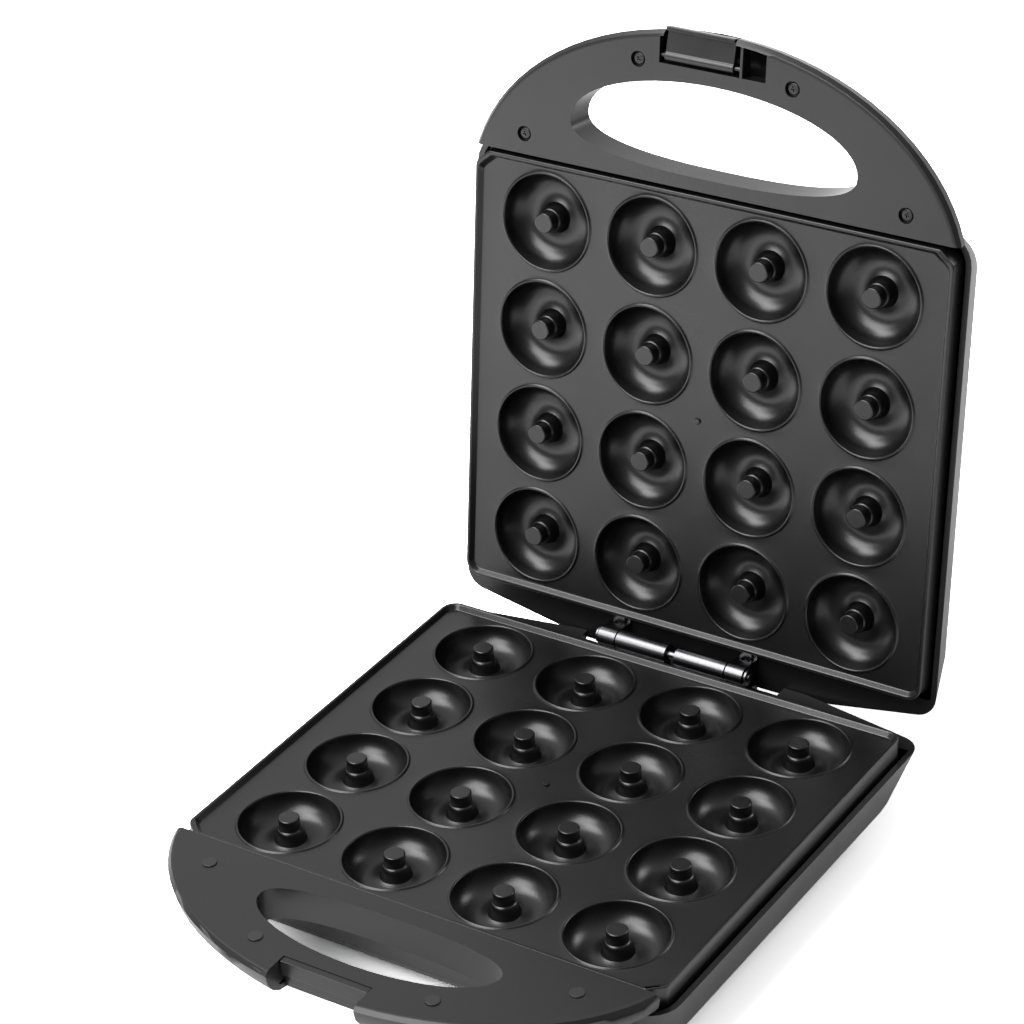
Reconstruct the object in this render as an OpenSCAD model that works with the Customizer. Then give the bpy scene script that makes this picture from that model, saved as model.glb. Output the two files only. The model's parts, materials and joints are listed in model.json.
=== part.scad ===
// Donut maker for sixteen small ring donuts: two hinged halves, each with a
// cast baking plate, a heater and a casing, opened by a pair of loop handles.
// The frame stands on its feet at z = 0, with the handles at -Y and the hinge at +Y.
// The lid is drawn open, leaning back on its stop.

/* [Baking plates] */
// Distance between donut cups across the width
cup_pitch_x = 54; // [52:0.5:58]
// Distance between donut cups from front to back
cup_pitch_y = 50; // [49:0.5:54]
// Outer diameter of the raised ring round a cup
ring_d = 45.7; // [42:0.1:46.5]
// Width of the raised ring round a cup
ring_w = 1.4; // [1:0.1:2]
// Height of the ring above the plate face
ring_h = 0.8; // [0.4:0.1:1.4]
// Depth of a cup below its ring
cup_depth = 10.4; // [8:0.1:11.5]
// Diameter of the peg in a cup
peg_d = 7.8; // [6:0.1:9]
// Height of the peg above the ring
peg_rise = 1.9; // [0.5:0.1:2]
// Thickness of the cast metal
cast_t = 2.2; // [1.8:0.1:3]
// Plain border beside the outer cups, left and right
border_x = 9.4; // [8:0.1:14]
// Plain border in front of and behind the cups
border_y = 2.6; // [2.2:0.1:6]
// Height of the plate's raised rim above the rings
rim_rise = 1.5; // [0.8:0.1:1.8]
// Width of the top of the rim
rim_top = 1.4; // [1:0.1:2.5]
// Width of the slope inside the rim
rim_slope = 1.8; // [1:0.1:3]
// Depth of the plate's skirt below the rings
skirt_drop = 9; // [8:0.1:10]
// Distance between the ring faces of the two plates when the lid is shut
plate_gap = 4.4; // [4.2:0.1:8]

/* [Casings] */
// Wall thickness of the plastic casings
wall = 2.5; // [2:0.1:3.2]
// Gap between the plate's skirt and the casing's lip
lip_gap = 1.5; // [1:0.1:2.5]
// Drop from the cup rings to the casing's lip
lip_drop = 7; // [6:0.1:8]
// Height of a casing from lip to outer face
casing_h = 34; // [32:0.5:44]
// Inward lean of the casing walls for each millimetre of height
wall_lean = 0.35; // [0.1:0.01:0.4]
// Radius of the casing's bottom edges
casing_r = 14; // [8:0.5:16]
// Radius of the casing's rear corners
corner_r = 10; // [8:0.5:14]
// Radius of the casing's front corners
front_corner_r = 14; // [12:0.5:18]
// Depth of the rear deck that carries the hinge
deck_d = 17.6; // [13:0.1:17.8]
// Height of the rubber feet below the casing
foot_h = 7; // [5:0.5:12]
// Diameter of the rubber feet
foot_d = 18; // [12:0.5:24]

/* [Handles] */
// Thickness of each half of the handle
handle_t = 15.1; // [14.5:0.1:18]
// Radius of the handle's rounded back
handle_r = 13; // [11:0.1:13]
// Reach of the lower handle in front of the plates
lower_reach = 67; // [64:0.5:70]
// Distance by which the upper handle reaches past the lower one
upper_overhang = 4; // [3:0.5:5]
// Width of the lower hand hole
lower_grip_w = 117; // [100:1:130]
// Width of the upper hand hole
upper_grip_w = 140; // [110:1:150]
// Depth of the lower hand hole
lower_grip_d = 33.5; // [28:0.5:34]
// Depth of the upper hand hole
upper_grip_d = 41; // [30:0.5:42]
// Height of the lower handle's flat face above the rings
lower_face = 3.6; // [3.2:0.1:3.7]
// Gap between the flat faces of the handles when the lid is shut
face_gap = 1; // [0.9:0.1:1.6]
// Diameter of the bumper discs
bumper_d = 6.4; // [5:0.1:8]
// Height of the bumper discs above the flat face
bumper_rise = 0.6; // [0.4:0.1:0.6]

/* [Hinge] */
// Angle by which the lid opens
open_angle = 98.5; // [90:0.5:100]
// Distance of the hinge axis behind the plates
hinge_back = 9.6; // [9.2:0.1:11]
// Height of the hinge axis above the lower rings
hinge_rise = 0.2; // [-0.5:0.1:1]
// Diameter of the hinge pin
pin_d = 4; // [3:0.1:4.4]
// Diameter of the hinge barrels
barrel_d = 9; // [7.6:0.1:9.2]
// Length of each hinge barrel
barrel_len = 25.5; // [15:0.5:26]
// Bare stretch of pin between the barrels
pin_bare = 6; // [4:0.5:9]
// Width of each hinge ear
ear_w = 8.8; // [7.6:0.1:9]

/* [Latch] */
// Width of the swinging clasp
clasp_w = 33.2; // [24:0.1:34]
// Length of the clasp from its pin to its tip
clasp_len = 12.6; // [11:0.1:12.8]
// Thickness of the clasp's arm
clasp_t = 2.6; // [2:0.1:2.8]
// Angle through which the clasp swings down
clasp_swing = 100; // [90:1:102]
// Diameter of the clasp's pin
clasp_pin_d = 2.4; // [2:0.1:2.6]

/* [Heating] */
// Diameter of the tubular heating elements
heater_d = 6.5; // [5.5:0.1:7]
// Thickness of the heat shields
shield_t = 0.8; // [0.5:0.1:1.5]

/* [Hidden] */
$fn = 48;
eps = 0.01;
cols = 4;
rows = 4;

// heights in a half's own frame: z = 0 on the cup rings, the casing at -z
half_w = cols / 2 * cup_pitch_x + border_x;
half_d = rows / 2 * cup_pitch_y + border_y;
ring_r = ring_d / 2;
face_z = -ring_h;
under_z = face_z - cast_t;
cup_under_z = -cup_depth - cast_t;
casing_half = half_w + lip_gap + wall * sqrt(1 + wall_lean * wall_lean);
lip_z = -lip_drop;
floor_z = lip_z - casing_h;
inner_floor_z = floor_z + wall;
rear_y = half_d + lip_gap + deck_d;
deck_taper = 9.2;
deck_front = half_d + lip_gap;
ring_z = -floor_z + foot_h;

// trough of a cup: a round groove between its wall and its hub
trough_r = (ring_r - ring_w) * 0.46;
trough_mid = ring_r - ring_w - trough_r;
hub_top_r = peg_d / 2 + 1.4;
hub_top_z = -3.6;
trough_z = min(0, trough_r - cup_depth);
hub_foot_r = hub_top_r + 3.4;

// handles
handle_edge = -half_d - 1.6;
handle_mid = 17.6 - half_d;
upper_reach = lower_reach + upper_overhang;
upper_face = plate_gap - lower_face - face_gap;
edge_inset = 3.2;
edge_drop = handle_t - handle_r;
grip_bar = 22.5;
grip_end_y_ratio = 0.36;
disc_clear = 0.1;

// hinge
hinge_y = half_d + hinge_back;
hinge_x = -3.5;
strap_t = 2;
pin_fit = 0.06;
barrel_in = pin_bare / 2 - 0.5;
barrel_out = barrel_in + barrel_len;
side_gap = 0.6;
ear_in = barrel_out + side_gap;
ear_out = ear_in + ear_w;
pin_len = 2 * (ear_out + 2.4);
bracket_t = 1.5;

// latch, in the lid's half frame and the base's half frame
clasp_x = -8;
clasp_fit = 0.8;
clasp_barrel = 4.8;
notch_x0 = clasp_x - clasp_w / 2 - clasp_fit;
notch_x1 = clasp_x + clasp_w / 2 + 9;
catch_y = -half_d - lower_reach + 14.7;
catch_front = catch_y - 3.3;
clasp_gap = 0.3;
clasp_back = 1.8;
clasp_y = catch_front - clasp_gap - clasp_back;
clasp_z_from_face = clasp_barrel / 2;
tooth_h = 1.8;
tooth_out = 2;
recess_x0 = clasp_x - clasp_w / 2 - 2.4;
recess_x1 = clasp_x + clasp_w / 2 + 15.9;
recess_y = clasp_y + clasp_barrel / 2 + 0.6;
rib_t = 1.6;
rib_x = clasp_x + clasp_w / 2 + 3.4;
catch_top = lower_face - 0.3;
clasp_axis_low = lower_face + face_gap + clasp_z_from_face;
ledge_z = clasp_axis_low - clasp_len + tooth_h + clasp_gap;

// screws: [shank, head diameter, head height]
m3 = [2.9, 5.6, 2];
m25 = [2.4, 4.6, 1.4];
screw_fit = 0.4;
pilot_fit = 0.02;

// posts that carry the plate on the casing, and those that carry the shield
pillar_x = cup_pitch_x;
pillar_y = cup_pitch_y;
post_x = cup_pitch_x;
post_y = cup_pitch_y;
pillar_d = 9;
pillar_hole = pillar_d + 3;
pillar_top = -9;
shield_z = cup_under_z - heater_d - 1.2;
pad_z = under_z - 1.4;

// overall reach at rest, used to stand the frame's origin under its middle
front_y = handle_mid - (half_d + lower_reach + handle_mid) * sqrt(1 - pow(notch_x1 / casing_half, 2));
function lid_y(y, z) = hinge_y + cos(open_angle) * (y - hinge_y) + sin(open_angle) * (z - hinge_rise);
lid_top = plate_gap - floor_z;
tub_front = handle_edge - 4;
lean_len = sqrt(1 + wall_lean * wall_lean);
arc_front = tub_front + wall_lean * (casing_h - casing_r) + casing_r * lean_len;
rear_reach = lid_y(arc_front, lid_top - casing_r) + casing_r;
mid_y = (rear_reach + front_y) / 2;

black = [0.06, 0.06, 0.065];
plate_black = [0.09, 0.09, 0.095];
metal = [0.62, 0.62, 0.64];
dark_metal = [0.2, 0.2, 0.22];
rubber = [0.05, 0.05, 0.05];

// ---------------------------------------------------------------- frames

// base half: z = 0 on its rings
module base_half() translate([0, -mid_y, ring_z]) children();

// lid half: drawn like a base half, turned face down and swung open
module lid_half()
    base_half()
    translate([0, hinge_y, hinge_rise]) rotate([-open_angle, 0, 0])
    translate([0, -hinge_y, -hinge_rise])
    translate([0, 0, plate_gap]) mirror([0, 0, 1]) children();

module both_sides() {
    children();
    mirror([1, 0, 0]) children();
}

// cylinder along X, centred on its length
module rod_x(d, len) rotate([0, 90, 0]) cylinder(d = d, h = len, center = true);

// screw standing on its head, shank upwards
module screw(size, len) {
    cylinder(d = size[1], h = size[2]);
    cylinder(d = size[0], h = size[2] + len);
}

module cup_places()
    for (i = [0:cols - 1], j = [0:rows - 1])
        translate([(i - (cols - 1) / 2) * cup_pitch_x, (j - (rows - 1) / 2) * cup_pitch_y, 0])
            children();

module pillar_places()
    for (p = [[-pillar_x, 0], [pillar_x, 0], [0, -pillar_y], [0, pillar_y]]) translate(p) children();

module post_places()
    for (x = [-post_x, post_x], y = [-post_y, post_y]) translate([x, y, 0]) children();

// ---------------------------------------------------------------- baking plates

function arc_points(x, y, r, from, to, n) =
    [for (k = [0:n]) [x + r * cos(from + (to - from) * k / n), y + r * sin(from + (to - from) * k / n)]];

// plate outline, stepped at the front corners and rounded at the back
function plate_side(inset) = let (w = half_w - inset, d = half_d - inset, r = 7 - min(inset, 4)) concat(
    [[w - 13.6, -d], [w - 10.4, -d + 3.6], [w - 4.6, -d + 3.6], [w, -d + 8.2]],
    arc_points(w - r, d - r, r, 0, 90, 6));

function mirrored(points) = [for (k = [len(points) - 1:-1:0]) [-points[k][0], points[k][1]]];

module plate_outline(inset = 0) polygon(concat(plate_side(inset), mirrored(plate_side(inset))));

// one cup: the ring, the cast wall under the trough, the hub and its peg
module cup() {
    difference() {
        union() {
            translate([0, 0, under_z]) cylinder(r = ring_r, h = -under_z);
            rotate_extrude() intersection() {
                translate([trough_mid, trough_z - eps]) circle(r = trough_r + cast_t);
                translate([0, cup_under_z]) square([ring_r, -cup_under_z + under_z + cast_t / 2]);
            }
        }
        rotate_extrude() intersection() {
            translate([trough_mid, trough_z]) circle(r = trough_r);
            translate([0, -cup_depth]) square([ring_r, cup_depth + 1]);
        }
        translate([0, 0, -1.2]) cylinder(r1 = ring_r - ring_w - 0.3, r2 = ring_r - ring_w + 0.3, h = 1.3);
    }
    rotate_extrude() polygon([
        [0, cup_under_z + cast_t / 2], [hub_foot_r + 1, cup_under_z + cast_t / 2],
        [hub_foot_r + 0.6, -cup_depth + 0.4], [hub_foot_r - 1.2, -cup_depth + 1.6],
        [hub_top_r + 0.5, hub_top_z - 0.5], [hub_top_r - 0.4, hub_top_z],
        [peg_d / 2, hub_top_z + 0.4], [peg_d / 2, peg_rise - 0.5],
        [peg_d / 2 - 0.5, peg_rise], [0, peg_rise]]);
}

// pyramid-sided pocket that leaves the raised rim
module rim_pocket() {
    w = half_w - rim_top;
    d = half_d - rim_top;
    top = rim_rise + eps;
    intersection() {
        rotate([90, 0, 0]) linear_extrude(4 * half_d, center = true) polygon([
            [-w - eps, top], [-w + rim_slope, face_z], [w - rim_slope, face_z], [w + eps, top]]);
        rotate([90, 0, 90]) linear_extrude(4 * half_w, center = true) polygon([
            [-d - eps, top], [-d + rim_slope, face_z], [d - rim_slope, face_z], [d + eps, top]]);
        translate([0, 0, face_z]) linear_extrude(rim_rise - face_z + 1) plate_outline(rim_top);
    }
}

module plate() {
    difference() {
        union() {
            difference() {
                translate([0, 0, -skirt_drop]) linear_extrude(skirt_drop + rim_rise) plate_outline();
                translate([0, 0, -skirt_drop - 1]) linear_extrude(skirt_drop + 1 + under_z)
                    plate_outline(cast_t);
                rim_pocket();
                cup_places() translate([0, 0, under_z - 1]) cylinder(r = ring_r - 0.5, h = cast_t + 2);
            }
            cup_places() cup();
            pillar_places() translate([0, 0, pillar_top]) cylinder(d = pillar_d, h = under_z - pillar_top + eps);
            post_places() translate([0, 0, shield_z]) cylinder(d = pillar_d - 1, h = under_z - shield_z + eps);
            translate([0, 0, pad_z]) cylinder(d = 18, h = under_z - pad_z + eps);
        }
        pillar_places() translate([0, 0, pillar_top - 1]) cylinder(d = m3[0] + pilot_fit, h = 6);
        post_places() translate([0, 0, shield_z - 1]) cylinder(d = m3[0] + pilot_fit, h = 9);
    }
}

// ---------------------------------------------------------------- heating

// the heater is a hairpin bent round under the middle rows, its ends turned down
heater_x = cup_pitch_x * 1.62;
heater_y = cup_pitch_y * 0.5;
heater_z = cup_under_z - heater_d / 2 - 0.3;
heater_bend = 16;
heater_gap = 12;
tail_end = 3;
tail_d = 2.4;

module bend(r, d, angle) rotate_extrude(angle = angle) translate([r, 0]) circle(d = d, $fn = 32);

module heater_half() {
    straight_y = cup_pitch_y + heater_bend;
    translate([0, 0, heater_z]) {
        // far run along X
        translate([(heater_x - heater_bend) / 2, straight_y, 0]) rod_x(heater_d, heater_x - heater_bend);
        translate([heater_x - heater_bend, straight_y - heater_bend, 0]) bend(heater_bend, heater_d, 90);
        // side run along Y
        translate([heater_x, 0, 0]) rotate([90, 0, 0])
            cylinder(d = heater_d, h = 2 * (straight_y - heater_bend), center = true);
        translate([heater_x - heater_bend, heater_bend - straight_y, 0]) rotate([0, 0, -90])
            bend(heater_bend, heater_d, 90);
        // near run back to the terminals
        translate([(heater_x - heater_bend + heater_gap) / 2, -straight_y, 0])
            rod_x(heater_d, heater_x - heater_bend - heater_gap);
        translate([(heater_gap + tail_end) / 2 + 1, -straight_y, 0]) rod_x(tail_d, heater_gap - tail_end + 2);
    }
}

module heater() {
    heater_half();
    mirror([1, 0, 0]) heater_half();
}

shield_w = 2 * (heater_x + 8);
shield_d = 2 * (cup_pitch_y + heater_bend + 8);
shield_fold = 3;

module heat_shield() {
    difference() {
        union() {
            translate([-shield_w / 2, -shield_d / 2, shield_z - shield_t]) cube([shield_w, shield_d, shield_t]);
            for (s = [-1, 1]) translate([-shield_w / 2, s * (shield_d / 2 - shield_t / 2) - shield_t / 2,
                shield_z - shield_t]) cube([shield_w, shield_t, shield_fold]);
        }
        post_places() translate([0, 0, shield_z - shield_t - 1]) cylinder(d = m3[0] + screw_fit, h = shield_t + 2);
        pillar_places() translate([0, 0, shield_z - shield_t - 1]) cylinder(d = pillar_hole, h = shield_t + 2);
        translate([0, 0, shield_z - shield_t - 1]) cylinder(d = 19, h = shield_t + 2);
        translate([-8, -cup_pitch_y - heater_bend - 6.5, shield_z - shield_t - 1]) cube([16, 11, shield_t + 2]);
    }
}

module shield_screws() post_places() translate([0, 0, shield_z - shield_t - m3[2]]) screw(m3, 6);

module plate_screws() pillar_places() translate([0, 0, pillar_top - 8 - m3[2]]) screw(m3, 11);

module thermostat() {
    translate([0, 0, pad_z - 8]) cylinder(d = 15.5, h = 8);
    translate([0, 0, pad_z - 9]) cylinder(d = 17.4, h = 1);
    translate([0, 0, pad_z - 15]) cylinder(d = 11, h = 6.1);
    for (s = [-1, 1]) translate([s * 3.4 - 0.4, -2.4, pad_z - 21]) cube([0.8, 4.8, 6.1]);
}

// ---------------------------------------------------------------- casings

// outline of a casing seen from above, rounded at every corner and tapering towards the hinge
function casing_side(inset, r, front_r) = let (w = casing_half - inset, d = rear_y - inset) concat(
    arc_points(w - front_r, tub_front + inset + front_r, front_r, -90, 0, 6),
    arc_points(w - r, d - deck_taper - r, r, 0, 78, 6),
    [[w * 0.48, d]]);

module casing_outline(inset, shrink) let (side = casing_side(inset, corner_r - shrink, front_corner_r - shrink))
    polygon(concat(side, mirrored(side)));

// solid casing: straight leaning walls that turn into the floor
module tub(shrink = 0) {
    turn = wall_lean * (casing_h - casing_r) + casing_r * lean_len;
    r = casing_r - shrink;
    levels = concat([[lip_z + 1, shrink * lean_len - wall_lean]],
        [for (a = [20:14:90]) [floor_z + casing_r - r * sin(a), turn - r * cos(a)]]);
    hull() for (l = levels) translate([0, 0, l[0]]) linear_extrude(eps) casing_outline(l[1], shrink);
}

// outline of a handle: half an oval
module handle_oval(reach, inset) {
    a = casing_half - inset;
    b = half_d + reach + handle_mid - inset;
    polygon(concat([for (k = [0:40]) [a * cos(180 + 4.5 * k), handle_mid + b * sin(180 + 4.5 * k)]],
        [[a, -60], [-a, -60]]));
}

// solid of a whole handle half below its flat face, with a rounded edge and back
module handle_solid(reach, face, shrink = 0) {
    c = face - edge_drop;
    r = handle_r - shrink;
    top = shrink > 0 ? face - shrink : face;
    levels = concat(
        [[top, edge_inset * (shrink > 0 ? 0.3 : 1)], [top - 0.5, shrink > 0 ? 0.2 : 1.5], [c, 0]],
        [for (a = [22.5:22.5:67.5]) [c - r * sin(a), r * (1 - cos(a))]], [[c - r, r]]);
    hull() for (l = levels) translate([0, 0, l[0] - eps]) linear_extrude(eps) handle_oval(reach, l[1] + shrink);
}

// hand hole, flatter on the side of the plates
function grip_curve(w, end_y, near, far) = [for (k = [0:59]) let (a = 6 * k, c = cos(a), s = sin(a))
    s > 0
        ? [w / 2 * sign(c) * pow(abs(c), 0.8), end_y + near * pow(s, 0.8)]
        : [w / 2 * c, end_y + far * s]];

module grip_outline(reach, w, d, grow = 0) {
    far_y = -half_d - reach + grip_bar;
    end_y = far_y + d * (1 - grip_end_y_ratio);
    polygon(grip_curve(w + 2 * grow, end_y, d * grip_end_y_ratio + grow, d * (1 - grip_end_y_ratio) + grow));
}

module behind_handle() translate([-half_w * 2, handle_edge, -100]) cube([half_w * 4, 400, 200]);

// lower screws stand under the bumper discs, upper ones in sockets
function handle_spots(side, bar, reach) = concat(
    [for (s = [-1, 1]) [s * side[0], -half_d - side[1]]],
    [for (s = [-1, 1]) [s * bar[0], -half_d - reach + bar[1]]]);
lower_spots = handle_spots([89.6, 16.2], [42.9, 19.4], lower_reach);
upper_spots = handle_spots([93.3, 10.8], [37.3, 16.6], upper_reach);

module spots(list) for (p = list) translate([p[0], p[1], 0]) children();

boss_d = 9;

// pocket for the lower handle's catch
module catch_notch() translate([notch_x0, -half_d - lower_reach - 10, -60])
    cube([notch_x1 - notch_x0, half_d + lower_reach + 10 + catch_y, 60 + lower_face + 1]);

module casing_shell(reach, face, grip_w, grip_d, list) {
    difference() {
        union() {
            tub();
            difference() {
                handle_solid(reach, face);
                behind_handle();
            }
        }
        // everything above the lip belongs to the handle cover
        translate([-300, -400, lip_z]) cube([600, 800, 60]);
        difference() {
            union() {
                difference() {
                    tub(wall);
                    translate([-300, deck_front, lip_z - wall]) cube([600, 100, 60]);
                }
                difference() {
                    handle_solid(reach, face, wall);
                    translate([-half_w * 2, tub_front + 4, -100]) cube([half_w * 4, 400, 200]);
                }
            }
            translate([0, 0, floor_z - 1]) linear_extrude(casing_h + 20)
                grip_outline(reach, grip_w, grip_d, wall);
            spots(list) translate([0, 0, floor_z]) cylinder(d = boss_d, h = casing_h + 20);
            pillar_places() translate([0, 0, floor_z]) cylinder(d = pillar_d, h = casing_h + 20);
        }
        translate([0, 0, floor_z - 1]) linear_extrude(casing_h + 20) grip_outline(reach, grip_w, grip_d);
        pillar_places() {
            translate([0, 0, floor_z - 1]) cylinder(d = m3[0] + screw_fit, h = casing_h);
            translate([0, 0, floor_z - 1]) cylinder(d = m3[1] + 1, h = pillar_top - 8 - floor_z + 1);
        }
        // plate pillars end under the plate's bosses
        translate([-half_w + 1, -half_d + 1, pillar_top - eps]) cube([2 * half_w - 2, 2 * half_d - 2, 30]);
    }
}

vent_w = 3;
foot_x = 84;
foot_front_y = -74;
foot_rear_y = 85;
stem_d = 5.8;
inlet_x = -58;
inlet_z = -24;
inlet_d = 12;
inlet_boss_d = 21;
inlet_face = rear_y - 1.5;
inlet_len = 10;
hinge_pocket_x = ear_out + 1;
hinge_pocket_w = 13;

// the hinge stands a little to the left of the middle
module hinge_sides() translate([hinge_x, 0, 0]) both_sides() children();

module hinge_pockets() hinge_sides()
    translate([hinge_pocket_x, hinge_y + 3, lip_z - wall - 4]) cube([hinge_pocket_w, 30, 20]);

module foot_places()
    for (x = [-foot_x, foot_x], y = [foot_front_y, foot_rear_y]) translate([x, y, 0]) children();

barrel_screw_x = 20;
barrel_screw_y = hinge_y + 5.2;
ear_screw_x = ear_in + ear_w / 2;
ear_screw_y = hinge_y - barrel_d / 2 - 1.1;

module base_casing() color(black) base_half() difference() {
    union() {
        casing_shell(lower_reach, lower_face, lower_grip_w, lower_grip_d, lower_spots);
        intersection() {
            translate([inlet_x, inlet_face - inlet_len, inlet_z]) rotate([-90, 0, 0])
                cylinder(d = inlet_boss_d, h = inlet_len);
            translate([-200, 60, floor_z]) cube([400, 100, casing_h]);
        }
        hinge_sides() translate([barrel_screw_x, barrel_screw_y, lip_z - 9]) cylinder(d = 6, h = 9);
        foot_places() translate([0, 0, floor_z]) cylinder(d = foot_d - 4, h = wall + 1);
    }
    catch_notch();
    spots(lower_spots) {
        translate([0, 0, floor_z]) cylinder(d = m3[0] + screw_fit, h = casing_h + 1);
        translate([0, 0, floor_z]) cylinder(d = m3[1] + 1, h = lip_z - 2.6 - floor_z);
    }
    foot_places() translate([0, 0, floor_z - 1]) cylinder(d = stem_d + 0.2, h = wall + 6);
    both_sides() for (x = [14:10:44], s = [-1, 1]) translate([x - vent_w / 2, s * 50 - 14, floor_z - 1])
        cube([vent_w, 28, wall + 2]);
    translate([inlet_x, rear_y - 50, inlet_z]) rotate([-90, 0, 0]) cylinder(d = inlet_d + 0.2, h = 60);
    hinge_pockets();
    hinge_sides() translate([barrel_screw_x, barrel_screw_y, lip_z - 8]) cylinder(d = m25[0] + pilot_fit, h = 10);
}

lens_d = 9;
lens_x = 14;
lens_y = -64;

module lens_places(side) translate([side * lens_x, lens_y, 0]) children();

module lid_casing() color(black) lid_half() difference() {
    union() {
        casing_shell(upper_reach, upper_face, upper_grip_w, upper_grip_d, upper_spots);
        hinge_sides() translate([ear_screw_x, ear_screw_y, lip_z - 9]) cylinder(d = 5.6, h = 9);
    }
    spots(upper_spots) translate([0, 0, lip_z - 5.6]) cylinder(d = m3[0] + pilot_fit, h = 7);
    for (s = [-1, 1]) lens_places(s) translate([0, 0, floor_z - 1]) cylinder(d = lens_d + 0.2, h = wall + 2);
    hinge_sides() translate([ear_screw_x, ear_screw_y, lip_z - 8]) cylinder(d = m25[0] + pilot_fit, h = 10);
}

// ---------------------------------------------------------------- handle covers

module cover_shell(reach, face, grip_w, grip_d, list) difference() {
    handle_solid(reach, face);
    behind_handle();
    translate([-300, -400, lip_z - 60]) cube([600, 800, 60]);
    difference() {
        handle_solid(reach, face, wall);
        translate([-half_w * 2, handle_edge - wall, -100]) cube([half_w * 4, 400, 200]);
        translate([0, 0, -50]) linear_extrude(100) grip_outline(reach, grip_w, grip_d, wall);
        spots(list) translate([0, 0, -50]) cylinder(d = boss_d, h = 100);
        children();
    }
    translate([0, 0, -50]) linear_extrude(100) grip_outline(reach, grip_w, grip_d);
}

module lower_handle_cover() color(black) base_half() difference() {
    cover_shell(lower_reach, lower_face, lower_grip_w, lower_grip_d, lower_spots)
        translate([notch_x0 - 2, -half_d - lower_reach - 20, -50])
            cube([notch_x1 - notch_x0 + 4, half_d + lower_reach + 22 + catch_y, 100]);
    catch_notch();
    for (x = catch_screw_x) translate([x, catch_y - 1, catch_screw_z]) rotate([-90, 0, 0])
        cylinder(d = m25[0] + screw_fit, h = 6);
    spots(lower_spots) {
        translate([0, 0, lip_z - 1]) cylinder(d = m3[0] + pilot_fit, h = 6);
        translate([0, 0, lower_face - 2.6]) cylinder(d = bumper_d - 3, h = 5);
    }
}

// window in the upper cover: the clasp lies in its left part
module clasp_recess() {
    front = -half_d - upper_reach;
    difference() {
        intersection() {
            translate([recess_x0, front, lip_z - 1])
                cube([recess_x1 - recess_x0, recess_y - front, 30]);
            translate([0, 0, lip_z - 1]) linear_extrude(30) handle_oval(upper_reach, wall);
        }
        translate([rib_x, front, lip_z - 1]) cube([rib_t - 0.4, 60, 30]);
    }
    translate([clasp_x - clasp_w / 2 - clasp_fit, front - 10, lip_z - 1])
        cube([clasp_w + 2 * clasp_fit, recess_y - front + 9, 30]);
}

clasp_axis_z = upper_face - clasp_z_from_face;

module upper_handle_cover() color(black) lid_half() difference() {
    cover_shell(upper_reach, upper_face, upper_grip_w, upper_grip_d, upper_spots)
        translate([recess_x0 - rib_t, -half_d - upper_reach - 10, -50])
            cube([recess_x1 - recess_x0 + 2 * rib_t, recess_y + rib_t + half_d + upper_reach + 10, 100]);
    clasp_recess();
    spots(upper_spots) {
        translate([0, 0, lip_z - 1]) cylinder(d = m3[0] + screw_fit, h = 20);
        translate([0, 0, upper_face - 2.8]) cylinder(d = 7, h = 5);
    }
    translate([(recess_x0 - rib_t + rib_x + rib_t) / 2, clasp_y, clasp_axis_z])
        rod_x(clasp_pin_d + 0.04, rib_x - recess_x0 + rib_t);
}

module bumper_discs() color(rubber) base_half() spots(lower_spots) {
    translate([0, 0, lower_face]) cylinder(d = bumper_d, h = bumper_rise);
    translate([0, 0, lower_face - 2.4]) cylinder(d = bumper_d - 3 - 2 * disc_clear, h = 2.5);
}

module lower_handle_screws() color(metal) base_half()
    spots(lower_spots) translate([0, 0, lip_z - 2.6 - m3[2]]) screw(m3, 2.6 + 4.4);

module upper_handle_screws() color(dark_metal) lid_half() spots(upper_spots)
    translate([0, 0, upper_face - 2.8 + m3[2]]) mirror([0, 0, 1]) screw(m3, upper_face - 2.8 - lip_z + 5);

// ---------------------------------------------------------------- latch

module latch_catch() color(black) base_half() {
    side = 0.4;
    x0 = notch_x0 + side;
    w = notch_x1 - notch_x0 - 2 * side;
    difference() {
        union() {
            translate([x0, catch_front, ledge_z]) cube([w, catch_y - catch_front, catch_top - ledge_z]);
            translate([x0, catch_y - 1.4, lower_face - handle_t + 3]) cube([w, 1.4, handle_t - 3 - lower_face + ledge_z + eps]);
        }
        for (x = catch_screw_x) translate([x, catch_y - 2.8, catch_screw_z]) rotate([-90, 0, 0])
            cylinder(d = m25[0] + pilot_fit, h = 4);
    }
}

catch_screw_x = [notch_x0 + 9, notch_x1 - 9];
catch_screw_z = (ledge_z + catch_top) / 2 - 1.2;

module catch_screws() color(metal) base_half() for (x = catch_screw_x)
    translate([x, catch_y + 2 + m25[2], catch_screw_z]) rotate([90, 0, 0]) screw(m25, 4.4);

// clasp hanging down from its pin at the origin, its back towards +Y
module clasp_body() difference() {
    union() {
        rod_x(clasp_barrel, clasp_w);
        translate([-clasp_w / 2, clasp_back - clasp_t, -clasp_len]) cube([clasp_w, clasp_t, clasp_len]);
        translate([-clasp_w / 2, clasp_back - eps, -clasp_len])
            cube([clasp_w, tooth_out, tooth_h]);
    }
    rod_x(clasp_pin_d + 2 * pin_fit, clasp_w + 2);
}

module latch_clasp() color(black) lid_half() translate([clasp_x, clasp_y, clasp_axis_z])
    mirror([0, 0, 1]) rotate([-clasp_swing, 0, 0]) clasp_body();

module latch_pin() color(metal) lid_half()
    translate([(recess_x0 - rib_t + rib_x + rib_t) / 2, clasp_y, clasp_axis_z])
        rod_x(clasp_pin_d, rib_x - recess_x0 + rib_t - 0.2);

// ---------------------------------------------------------------- hinge

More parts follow.
